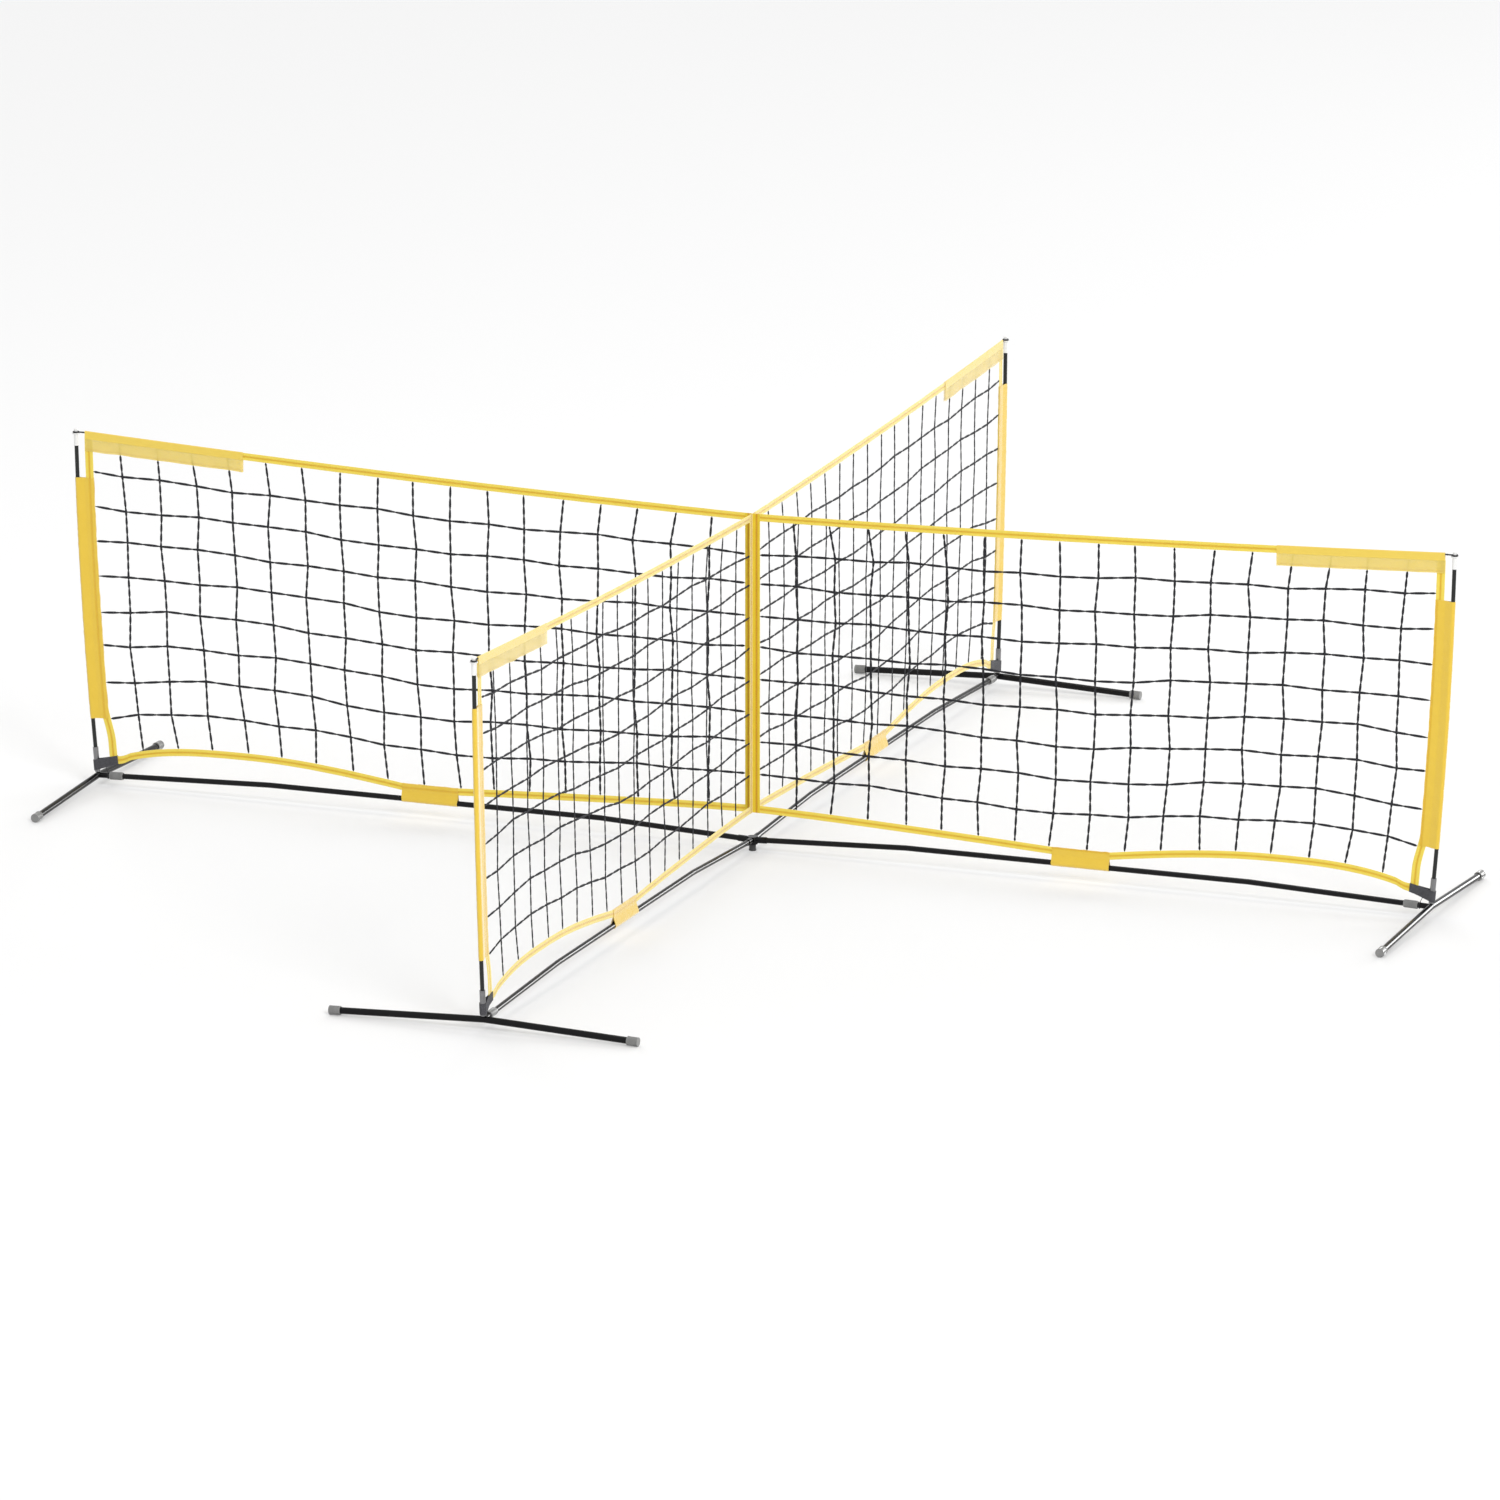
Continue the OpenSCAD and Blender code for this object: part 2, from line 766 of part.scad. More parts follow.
for (a = ARMS)
    rotate([0, 0, a[1]]) {
        foot();
        post_socket();
        post();
        lock_collar();
        ground_pole();
        net_mesh();
        top_tape();
        bottom_tape();
        side_tape();
        top_band();
        post_sleeve();
        pole_sleeve();
        strap();
    }

hub();
hub_foot();
centre_seam();
foot_caps();
top_caps();
corner_cords();
tie_cords();
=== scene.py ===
# %% [markdown]
# # A four-way ball net, dressed for a picture
#
# The rigid frame of this net comes ready-made from a CAD file: feet, ground poles, hub,
# collars and posts. This lesson loads that frame, paints it, and sews everything soft onto
# it: four knotted nets, their tapes, sleeves, bands and straps.
#
# The first cell loads the frame and bakes each part's placement into its mesh.

from math import asin, atan, atan2, ceil, cos, hypot, pi, radians, sin, sqrt

import bmesh
import bpy
from mathutils import Matrix, Vector, noise


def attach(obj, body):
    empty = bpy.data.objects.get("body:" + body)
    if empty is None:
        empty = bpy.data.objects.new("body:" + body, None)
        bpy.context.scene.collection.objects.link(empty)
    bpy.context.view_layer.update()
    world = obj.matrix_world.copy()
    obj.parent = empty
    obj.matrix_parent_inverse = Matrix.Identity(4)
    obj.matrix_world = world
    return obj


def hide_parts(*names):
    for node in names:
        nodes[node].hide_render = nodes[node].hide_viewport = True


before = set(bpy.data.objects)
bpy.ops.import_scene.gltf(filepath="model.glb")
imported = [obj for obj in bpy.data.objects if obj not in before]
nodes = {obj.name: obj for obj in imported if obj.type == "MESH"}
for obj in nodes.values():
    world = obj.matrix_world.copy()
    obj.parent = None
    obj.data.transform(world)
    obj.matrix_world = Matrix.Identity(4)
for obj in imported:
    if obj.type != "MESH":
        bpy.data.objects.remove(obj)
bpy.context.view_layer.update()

# %% [markdown]
# ## Camera
#
# The net is four metres across, so the camera stands far away with a long lens. Such a
# lens hardly shows any perspective: the far arm looks nearly as long as the near one.
# The camera is placed by its turn round the net, its height angle and its distance.

# %% Camera
target = Vector((-0.0077, -0.0001, 0.2896))
turn, height, distance = radians(21.066), radians(14.518), 38.489
toward_camera = Vector((sin(turn) * cos(height), -cos(turn) * cos(height), sin(height)))

camera_data = bpy.data.cameras.new("camera")
camera_data.sensor_width = 36.0
camera_data.lens = 330.26
camera_data.clip_end = 400.0
camera = bpy.data.objects.new("camera", camera_data)
camera.location = target + distance * toward_camera
camera.rotation_euler = (-toward_camera).to_track_quat("-Z", "Y").to_euler()
bpy.context.scene.collection.objects.link(camera)
bpy.context.scene.camera = camera
bpy.context.scene.view_settings.view_transform = "Standard"
print("camera at", [round(c, 2) for c in camera.location])

# %% [markdown]
# ## Shader sums in plain Python
#
# A material is a graph of small nodes. Building it by hand takes many lines, so one class
# wraps a node's output: sums and products of such outputs add the Math nodes by themselves,
# and `node` adds any other kind. Colours never go through a Math node, which would turn
# them grey. They go through `blend`.


# %% Shader helper
class Wire:
    """The output of a shader node, which can be used in Python sums."""

    def __init__(self, tree, socket=None):
        self.tree, self.socket = tree, socket

    def node(self, kind, settings=None, inputs=None, output=0):
        made = self.tree.nodes.new(kind)
        for key, value in (settings or {}).items():
            setattr(made, key, value)
        for key, value in (inputs or {}).items():
            if isinstance(value, Wire):
                self.tree.links.new(value.socket, made.inputs[key])
            else:
                made.inputs[key].default_value = value
        return Wire(self.tree, made.outputs[output] if made.outputs else None)

    def math(self, operation, *values):
        return self.node("ShaderNodeMath", {"operation": operation}, dict(enumerate(values)))

    def blend(self, a, b):
        """Colour a where this value is 0, colour b where it is 1."""
        return self.node("ShaderNodeMix", {"data_type": "RGBA"}, {0: self, 6: a, 7: b}, 2)

    def __add__(self, other):
        return self.math("ADD", self, other)

    def __mul__(self, other):
        return self.math("MULTIPLY", self, other)

    def __sub__(self, other):
        return self.math("SUBTRACT", self, other)

    def __rsub__(self, other):
        return self.math("SUBTRACT", other, self)

    def __truediv__(self, other):
        return self.math("DIVIDE", self, other)

    def __mod__(self, other):
        return self.math("FLOORED_MODULO", self, other)

    def __lt__(self, other):
        return self.math("LESS_THAN", self, other)

    def __gt__(self, other):
        return self.math("GREATER_THAN", self, other)

    def __abs__(self):
        return self.math("ABSOLUTE", self)

    __radd__ = __add__
    __rmul__ = __mul__


print("Wire is ready")

# %% [markdown]
# ## A studio with a white floor
#
# The floor has two jobs. It throws light up at the net as any pale floor does, and it
# looks white with only a breath of shadow. So it is plain pale paint to the light, and
# partly glowing to the camera and in reflections. The room is a soft grey light that looks
# white, also in gloss, so the black finishes below reflect only a little of it.
#
# A broad sun from the front right is the main lamp, and three soft boxes draw highlights.
# A fourth box, the glint, shows in gloss alone and draws a bright line along the feet. Two
# low, broad suns behind throw short soft shadows forward from the feet. They are kept out
# of gloss, where the boxes draw better highlights.

# %% Studio
studio = bpy.data.worlds.new("studio")
studio.use_nodes = True
studio.node_tree.nodes.clear()
start = Wire(studio.node_tree)


def seen_in(wire, *names):
    """1 for the named kinds of ray, such as those of the camera or of gloss."""
    rays = [wire.node("ShaderNodeLightPath", output=f"Is {name} Ray") for name in names]
    total = rays[0]
    for ray in rays[1:]:
        total = total.math("MAXIMUM", total, ray)
    return total


room_light = 0.62
shown = seen_in(start, "Camera", "Glossy", "Transmission")
strength = shown + (1 - shown) * room_light
sky = start.node(
    "ShaderNodeBackground", inputs={"Color": (1, 1, 1, 1), "Strength": strength}
)
start.node("ShaderNodeOutputWorld", inputs={"Surface": sky})
bpy.context.scene.world = studio

floor_mesh = bpy.data.meshes.new("floor")
shape = bmesh.new()
bmesh.ops.create_grid(shape, x_segments=1, y_segments=1, size=60)
shape.to_mesh(floor_mesh)
shape.free()
floor = bpy.data.objects.new("floor", floor_mesh)
bpy.context.scene.collection.objects.link(floor)

floor_paint = bpy.data.materials.new("floor_paint")
floor_paint.use_nodes = True
floor_paint.node_tree.nodes.clear()
start = Wire(floor_paint.node_tree)
pale = start.node("ShaderNodeBsdfDiffuse", inputs={"Color": (0.8, 0.8, 0.8, 1)})
dim = start.node("ShaderNodeBsdfDiffuse", inputs={"Color": (0.68, 0.68, 0.68, 1)})
glow = start.node("ShaderNodeEmission", inputs={"Color": (1, 1, 1, 1), "Strength": 0.17})
bright = start.node("ShaderNodeAddShader", inputs={0: dim, 1: glow})
shown = seen_in(start, "Camera", "Glossy", "Transmission")
both = start.node("ShaderNodeMixShader", inputs={0: shown, 1: pale, 2: bright})
start.node("ShaderNodeOutputMaterial", inputs={"Surface": both})
floor_mesh.materials.append(floor_paint)


def add_lamp(name, kind, place, toward):
    """A lamp that the camera doesn't see, whose back looks in the direction toward."""
    data = bpy.data.lights.new(name, kind)
    lamp = bpy.data.objects.new(name, data)
    lamp.location = place
    lamp.rotation_euler = Vector(toward).to_track_quat("Z", "Y").to_euler()
    lamp.visible_camera = False
    bpy.context.scene.collection.objects.link(lamp)
    return lamp, data


def soft_box(name, place, wide, high, radiance, lights_cloth=True):
    """A lit square that faces the net. A box that doesn't light cloth shows in gloss alone."""
    lamp, data = add_lamp(name, "AREA", place, Vector(place) - Vector((0, 0, 0.4)))
    lamp.visible_diffuse = lights_cloth
    data.shape, data.size, data.size_y = "RECTANGLE", wide, high
    data.energy = radiance * pi * wide * high


def broad_sun(name, toward, energy, width, glossy):
    lamp, data = add_lamp(name, "SUN", (0, 0, 0), toward)
    data.energy, data.angle = energy, radians(width)
    lamp.visible_glossy = glossy


soft_box("box_above", (-1.0, 1.5, 8.0), 3.0, 3.0, 3.5)
soft_box("box_front", (5.2, -7.5, 4.2), 2.4, 2.4, 7.0)
soft_box("box_behind", (6.6, 11.2, 2.2), 3.8, 4.4, 8.0)
soft_box("glint_behind", (6.5, 11.2, 2.2), 4.4, 4.4, 8.0, lights_cloth=False)
broad_sun("sun_front", (0.70, -0.60, 0.75), 1.1, 20, True)
broad_sun("sun_behind_left", (-0.645, 0.76, 0.40), 0.9, 24, False)
broad_sun("sun_behind_right", (-0.03, 1.0, 0.40), 0.9, 24, False)
print("floor, room and lamps are set")

# %% [markdown]
# ## The drawing of one arm
#
# All four arms are alike, so everything is drawn once along +X and turned into place.
# These are the maker's sizes, in millimetres, and the curves that the cloth follows: the
# bowed post, the sagging top edge, and the bottom edge that dips to the ground pole.

# %% Sizes of an arm
MM = 0.001
ARMS = {"right": 0, "back": 90, "left": 180, "front": 270}
arm_reach, pole_crown_z, leg_crown_z = 2000.0, 50.5, 31.0
pole_od, rod_od, socket_od, stub_od = 15.5, 11.5, 16.0, 16.0
bend_out, joint_back, collar_len = 530.0, 58.0, 41.0
post_lean, post_bow_r = radians(5.15), 14600.0
net_top_centre, net_top_post, net_top_sag = 971.0, 1035.0, 8.0
net_bottom_centre, net_hump_z, net_hump_back, net_corner_z = 131.0, 137.0, 457.0, 92.0
upright_cords, level_cords, cord_w, cord_t = 17, 8, 7.2, 3.2
cord_wander, end_fan = 6.0, 16.0
tape_w, side_w, tape_t, seam_w, cloth_t = 21.0, 24.0, 1.6, 22.0, 0.9
sleeve_w, sleeve_low_z, sleeve_high_z = 50.0, 198.0, 900.0
band_len, band_h = 486.0, 56.0
tab_reach, tab_len, tab_h = 976.0, 170.0, 45.0
strap_w, strap_t, strap_fall = 25.0, 1.6, 19.0
corner_cord_d, tie_cord_d = 4.4, 1.8
gap = 0.3

bow_cx = arm_reach - post_bow_r * cos(post_lean)
bow_cz = leg_crown_z + post_bow_r * sin(post_lean)


def post_x(z):
    """Distance of the post's axis from the hub's axis, at height z."""
    return bow_cx + sqrt(post_bow_r**2 - (bow_cz - z) ** 2)


def post_tilt(z):
    return asin((bow_cz - z) / post_bow_r)


net_reach = post_x(net_top_post) - 28
tab_in, tab_out = tab_reach - tab_len / 2, tab_reach + tab_len / 2
tab_edge_z, hump_x = pole_crown_z + tab_h, arm_reach - net_hump_back


def top_edge(x):
    t = (x - seam_w) / (net_reach - seam_w)
    return net_top_centre + (net_top_post - net_top_centre) * t - 4 * net_top_sag * t * (1 - t)


def ease(t):
    return (1 - cos(pi * max(0, min(1, t)))) / 2


def side_in(z):
    return post_x(z) - sleeve_w - 16 * ease((sleeve_low_z + 52 - z) / 120)


corner_x = side_in(net_corner_z)


def bottom_edge(x):
    if x < tab_in:
        share = (max(0, x - seam_w) / (tab_in - seam_w)) ** 1.3
        return net_bottom_centre - (net_bottom_centre - tab_edge_z) * share
    if x < tab_out:
        return tab_edge_z
    if x < hump_x:
        return tab_edge_z + (net_hump_z - tab_edge_z) * sin(pi / 2 * (x - tab_out) / (hump_x - tab_out))
    return net_hump_z - (net_hump_z - net_corner_z) * min(1, (x - hump_x) / (corner_x - hump_x)) ** 3


print(f"net reaches {net_reach:.1f} mm, its corner is at {corner_x:.1f} mm")

# %% [markdown]
# ## Paints for the rigid parts
#
# Powder-coated tube is black and glossy with a faint orange-peel skin, and it picks up a
# little dust and fine scuffs. The feet are a shade smoother than the long poles. Each
# finish below starts from the same helper: a colour, a roughness and a bump, all with some
# life in them.


# %% Finish helper
def noise_at(start, vector, scale, detail=3.0, roughness=0.5):
    return start.node(
        "ShaderNodeTexNoise",
        inputs={"Vector": vector, "Scale": scale, "Detail": detail, "Roughness": roughness},
    )


def stretched(start, vector, scale):
    """The coordinates scaled by a different amount along each axis."""
    return start.node("ShaderNodeMapping", inputs={"Vector": vector, "Scale": scale})


def new_finish(name):
    material = bpy.data.materials.new(name)
    material.use_nodes = True
    material.node_tree.nodes.clear()
    start = Wire(material.node_tree)
    place = start.node("ShaderNodeTexCoord", output="Object")
    return material, start, place


def close_finish(start, colour, roughness, bump, bump_depth, alpha=1.0, **constants):
    """Ends a material: bump is a height from 0 to 1 that stands bump_depth metres proud."""
    normal = start.node(
        "ShaderNodeBump", inputs={"Strength": 1.0, "Distance": bump_depth, "Height": bump}
    )
    sockets = {"Base Color": colour, "Roughness": roughness, "Normal": normal, "Alpha": alpha}
    sockets.update({key.replace("_", " "): value for key, value in constants.items()})
    skin = start.node("ShaderNodeBsdfPrincipled", inputs=sockets)
    start.node("ShaderNodeOutputMaterial", inputs={"Surface": skin})


print("finish helpers are ready")


# %% Black tube and black rod
def black_paint(name, dullness, shine):
    material, start, place = new_finish(name)
    peel = noise_at(start, place, 420, 2)
    scuffs = noise_at(start, stretched(start, place, (60, 60, 14)), 9, 6, 0.7)
    dust = noise_at(start, place, 38, 5)
    worn = (scuffs > 0.68) * 0.3
    colour = (worn + dust * 0.2).blend((0.004, 0.004, 0.0044, 1), (0.02, 0.02, 0.021, 1))
    close_finish(
        start, colour, dullness + dust * 0.1 + worn * 0.3, peel, 0.00004, Specular_IOR_Level=shine
    )
    return material


black_tube = black_paint("black_tube", 0.06, 0.14)
black_pole = black_paint("black_pole", 0.10, 0.16)

black_rod, start, place = new_finish("black_rod")
fibres = noise_at(start, stretched(start, place, (900, 900, 12)), 1, 3)
dust = noise_at(start, place, 30, 4)
colour = fibres.blend((0.006, 0.007, 0.007, 1), (0.022, 0.024, 0.024, 1))
close_finish(start, colour, 0.20 + dust * 0.1, fibres, 0.00004, Specular_IOR_Level=0.3)
print("black finishes are ready")

# %% [markdown]
# The socket that joins rod and foot is drawn steel. Drawing leaves fine lines along the
# tube, so its noise is stretched along z. The ribbed grips are satin grey plastic with a
# fine grain, the caps on the posts are white plastic, and the hub stands on dark rubber.

# %% Metal, plastics and rubber
socket_metal, start, place = new_finish("socket_metal")
lines = noise_at(start, stretched(start, place, (1500, 1500, 20)), 1, 4)
stains = noise_at(start, place, 60, 4)
colour = stains.blend((0.17, 0.17, 0.175, 1), (0.30, 0.30, 0.305, 1))
close_finish(start, colour, 0.2 + lines * 0.18, lines, 0.00004, Metallic=1.0)

grey_plastic, start, place = new_finish("grey_plastic")
grain = noise_at(start, place, 900, 2)
grime = noise_at(start, place, 70, 5)
colour = (grime * 0.8).blend((0.29, 0.29, 0.286, 1), (0.15, 0.15, 0.148, 1))
close_finish(start, colour, 0.24 + grain * 0.12, grain, 0.00006, Specular_IOR_Level=0.3)

white_plastic, start, place = new_finish("white_plastic")
grain = noise_at(start, place, 500, 2)
grime = noise_at(start, place, 50, 5)
colour = (grime * 0.6).blend((0.86, 0.86, 0.85, 1), (0.70, 0.70, 0.68, 1))
close_finish(start, colour, 0.3 + grain * 0.1, grain, 0.00004)

dark_rubber, start, place = new_finish("dark_rubber")
grain = noise_at(start, place, 1200, 3)
dust = noise_at(start, place, 80, 5)
colour = dust.blend((0.012, 0.012, 0.013, 1), (0.05, 0.05, 0.05, 1))
close_finish(start, colour, 0.55 + grain * 0.2, grain, 0.00012)

RIGID = {
    "foot": black_tube,
    "ground_pole": black_pole,
    "post": black_rod,
    "post_socket": socket_metal,
    "lock_collar": grey_plastic,
}
painted = {f"{arm}_{part}": paint for arm in ARMS for part, paint in RIGID.items()}
painted.update(
    hub=black_pole, hub_foot=dark_rubber, foot_caps=grey_plastic, top_caps=white_plastic
)
for name, paint in painted.items():
    for slot in nodes[name].material_slots:
        slot.material = paint
    nodes[name].data.set_sharp_from_angle(angle=radians(35))
print("painted", len(painted), "rigid parts")

# %% [markdown]
# ## Woven tape and plain cloth
#
# The borders of the net are a yellow tape with a line of orange thread sewn down its
# middle, which draws the tape into two soft halves. The sleeves and bands are plain yellow
# cloth with sewn hems. The pieces carry a UV map in metres: u runs along the piece and v
# across it, measured from the tape's middle or from the cloth's edge. So a stitch has its
# real length on every piece, however it is cut.


# %% Cloth helpers
def along_and_across(start):
    uv = start.node("ShaderNodeUVMap", {"uv_map": "UVMap"})
    return uv, [start.node("ShaderNodeSeparateXYZ", inputs={0: uv}, output=k) for k in (0, 1)]


def stitches(u, v, lines, length=0.0042, width=0.00075):
    """1 on the thread of sewn lines that run along u at the given places across."""
    thread = (u / length) % 1.0 < 0.72
    near = sum((abs(v - at) < width) * 1.0 for at in lines)
    return thread * near


def furrow(v, lines, width):
    """1 in the middle of each sewn line, falling to 0 at width from it."""
    return sum((1 - abs(v - at) / width).math("MAXIMUM", 1 - abs(v - at) / width, 0.0) for at in lines)


def weave(start, u, v, pitch):
    """Threads over and under, as a height from -1 to 1."""
    turns = 2 * pi / pitch
    return (u * turns).math("SINE", u * turns) * (v * turns).math("SINE", v * turns)


print("cloth helpers are ready")


# %% Yellow tape and yellow cloth
def yellow_finish(name, pale_colour, deep_colour, pitch, lines, thread_colour, glow_open_share=None):
    material, start, place = new_finish(name)
    uv, (u, v) = along_and_across(start)
    cloud = noise_at(start, place, 26, 4)
    slub = noise_at(start, stretched(start, uv, (180, 1500, 1)), 1, 3)
    sewn = stitches(u, v, lines)
    # The crease along each sewn line dips in the bump and also deepens the yellow there: painted shade in
    # the crease.
    seam_groove_and_shade = furrow(v, lines, 0.0050)
    colour = (cloud * 0.3 + slub * 0.2 + seam_groove_and_shade * 0.9).blend(pale_colour, deep_colour)
    colour = sewn.blend(colour, thread_colour)
    alpha = 1.0
    if glow_open_share:
        openness_and_glow = glow_open_share(start, u, v)
        # Where the cloth is open its colour is lifted towards a pale yellow: painted light, a glow through
        # the thin cloth.
        colour = openness_and_glow.blend(colour, (1.0, 0.87, 0.27, 1))
        alpha = 1 - openness_and_glow
    height = weave(start, u, v, pitch) * 0.12 + slub * 0.25 + sewn * 0.5 - seam_groove_and_shade * 0.6
    close_finish(
        start, colour, 0.72 + slub * 0.15, height, 0.0006,
        alpha=alpha, Sheen_Weight=1.0, Sheen_Roughness=0.45, Specular_IOR_Level=0.12,
    )
    return material


yellow_tape = yellow_finish(
    "yellow_tape", (0.89, 0.73, 0.12, 1), (0.74, 0.48, 0.025, 1), 0.0016,
    [0.0], (0.72, 0.32, 0.015, 1),
)
sleeve_cloth = yellow_finish(
    "sleeve_cloth", (0.82, 0.575, 0.07, 1), (0.72, 0.45, 0.03, 1), 0.0011,
    [0.012, 0.117], (0.78, 0.44, 0.02, 1),
)
# The centre seam wears a deeper copy of the yellow tape: painted shade for the fold between the four
# panels.
shaded_seam_tape = yellow_finish(
    "shaded_seam_tape", (0.82, 0.65, 0.04, 1), (0.62, 0.35, 0.010, 1), 0.0016,
    [0.0], (0.62, 0.26, 0.01, 1),
)
print("yellow finishes are ready")

# %% [markdown]
# The band on the top tape is a thin open cloth. Where the tape lies behind it the band
# looks solid, and below the tape the cords show through. The share of light that passes
# is set by the distance from the fold: v is 0 on the fold and grows towards both hems.
# The same share also lifts the open cloth towards a pale yellow, which is painted light
# for the glow through the thin cloth.


# %% Band cloth
def band_openness_and_glow(start, u, v):
    below_tape = (v / 0.001 - 22.0) * 0.4
    share = below_tape.math("MINIMUM", below_tape.math("MAXIMUM", below_tape, 0.0), 1.0)
    holes = weave(start, u, v, 0.0024) * 0.08
    return share * (0.50 + holes)


band_cloth = yellow_finish(
    "band_cloth", (0.86, 0.65, 0.12, 1), (0.77, 0.50, 0.04, 1), 0.0012,
    [0.0525], (0.84, 0.48, 0.03, 1), glow_open_share=band_openness_and_glow,
)
print("band cloth is ready")

# %% [markdown]
# Net cord is a flat charcoal cord, strap webbing is a dark weave with pale flecks, and the
# cords at the corners are braided black.

# %% Dark textiles
net_cord, start, place = new_finish("net_cord")
strands = noise_at(start, place, 900, 3)
fade = noise_at(start, place, 9, 4)
colour = (strands * 0.6 + fade * 0.3).blend((0.008, 0.008, 0.010, 1), (0.035, 0.036, 0.042, 1))
close_finish(start, colour, 0.62 + strands * 0.2, strands, 0.0003, Specular_IOR_Level=0.2)

dark_webbing, start, place = new_finish("dark_webbing")
uv, (u, v) = along_and_across(start)
ribs = weave(start, u, v, 0.0022)
flecks = noise_at(start, stretched(start, uv, (700, 1400, 1)), 1, 3)
colour = ((flecks > 0.56) * 0.6 + ribs * 0.12 + 0.12).blend((0.02, 0.02, 0.025, 1), (0.17, 0.17, 0.185, 1))
close_finish(start, colour, 0.7 + flecks * 0.15, ribs * 0.4 + flecks * 0.4, 0.0005)

black_cord, start, place = new_finish("black_cord")
braid = noise_at(start, stretched(start, place, (700, 700, 1100)), 1, 2)
colour = braid.blend((0.008, 0.008, 0.009, 1), (0.035, 0.035, 0.038, 1))
close_finish(start, colour, 0.55 + braid * 0.2, braid, 0.0004)
print("dark textiles are ready")

# %% [markdown]
# ## Making cloth from a grid
#
# Every sewn piece starts as a flat grid. A function says where each point of the grid goes,
# in the arm's own plane, and the Solidify modifier gives the cloth its thickness, with a
# share for each point so that a tape is thin at its seam and edges. Then the modifier is
# made real, because a finished piece should need nothing more.


# %% Cloth maker
def adopt(mesh, name, paint, slot, *replaced):
    """Makes a finished mesh a piece of the net that stands for the named nodes."""
    mesh.name = name
    mesh.materials.clear()
    mesh.materials.append(paint)
    piece = bpy.data.objects.new(name, mesh)
    bpy.context.scene.collection.objects.link(piece)
    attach(piece, "frame_and_net")
    if replaced:
        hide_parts(*replaced)
    return piece


def cloth_mesh(along, across, place, measure, thickness, share=None):
    """A grid bent by place(u, v) in mm, with UVs from measure(u, v) in mm, made thick."""
    shape = bmesh.new()
    uv_layer = shape.loops.layers.uv.new("UVMap")
    weights = shape.verts.layers.deform.new()
    bmesh.ops.create_grid(shape, x_segments=along, y_segments=across, size=0.5)
    chart = {}
    for vert in shape.verts:
        u, v = vert.co.x + 0.5, vert.co.y + 0.5
        chart[vert] = Vector(measure(u, v)) * MM
        vert.co = Vector(place(u, v)) * MM
        vert[weights][0] = share(u, v) if share else 1.0
    for face in shape.faces:
        for loop in face.loops:
            loop[uv_layer].uv = chart[loop.vert]
    sheet = bpy.data.meshes.new("sheet")
    shape.to_mesh(sheet)
    shape.free()
    holder = bpy.data.objects.new("sheet", sheet)
    bpy.context.scene.collection.objects.link(holder)
    holder.vertex_groups.new(name="share")
    thick = holder.modifiers.new("thick", "SOLIDIFY")
    thick.thickness, thick.offset, thick.use_even_offset = thickness * MM, 0.0, True
    thick.vertex_group, thick.thickness_vertex_group = "share", 0.0
    solid = bpy.data.meshes.new_from_object(
        holder.evaluated_get(bpy.context.evaluated_depsgraph_get())
    )
    bpy.data.objects.remove(holder)
    shape = bmesh.new()
    shape.from_mesh(solid)
    bmesh.ops.recalc_face_normals(shape, faces=shape.faces)
    shape.to_mesh(solid)
    shape.free()
    solid.shade_smooth()
    solid.set_sharp_from_angle(angle=radians(50))
    return solid


def on_arm(mesh, arm):
    mesh.transform(Matrix.Rotation(radians(ARMS[arm]), 4, "Z"))
    return mesh


def ripple(x, y, seed):
    """A smooth, repeatable value from about -1 to 1."""
    return 1.6 * noise.noise(Vector((x, y, 7.31 * seed)))


print("cloth maker is ready")

# %% [markdown]
# ## Tapes
#
# A tape is folded over the net's edge and sewn down its middle. Across its width it is
# thick on both halves and thin at the sewn line and at its two edges. The net pulls at it,
# so its middle line isn't quite straight.


# %% Tapes
def tape_share(u, v):
    """How thick the tape is across: two soft halves with the sewn line between them."""
    half = abs(2 * v - 1)
    rise = min(1.0, half / 0.22)
    fall = min(1.0, (1 - half) / 0.10)
    return 0.62 + 0.38 * min(sqrt(rise), sqrt(fall))


def top_tape(arm, seed):
    start_x = seam_w + gap

    def place(u, v):
        x = start_x + u * (net_reach - start_x)
        return x, 0.5 * ripple(x / 60, 0, seed), top_edge(x) - tape_w * (1 - v)

    def measure(u, v):
        return u * (net_reach - start_x), (v - 0.5) * tape_w

    return on_arm(cloth_mesh(280, 14, place, measure, tape_t, tape_share), arm)


def bottom_tape(arm, seed):
    start_x, low_z = seam_w + gap, net_corner_z - tape_w - 2

    def place(u, v):
        end_z = low_z + v * (net_corner_z - low_z)
        x = start_x + u * (side_in(end_z) - gap - start_x)
        z = bottom_edge(x) - tape_w * (1 - v)
        pull = max(0, 1 - (1 - u) / 0.02)
        return x, 0.5 * ripple(x / 55, 3, seed), z + (end_z - z) * pull

    def measure(u, v):
        return u * (corner_x - start_x), (v - 0.5) * tape_w

    return on_arm(cloth_mesh(280, 14, place, measure, tape_t, tape_share), arm)


def side_tape(arm, seed):
    low_z, top_in = net_corner_z - tape_w - 2, side_in(net_top_post - tape_w)

    def place(u, v):
        top_x = top_in + side_w * v
        z = low_z + u * (top_edge(top_x) - tape_w - gap - low_z)
        return side_in(z) + side_w * v, 0.15 * ripple(z / 60, 5, seed), z

    def measure(u, v):
        return u * (net_top_post - tape_w - low_z), (v - 0.5) * side_w

    return on_arm(cloth_mesh(140, 14, place, measure, tape_t, tape_share), arm)


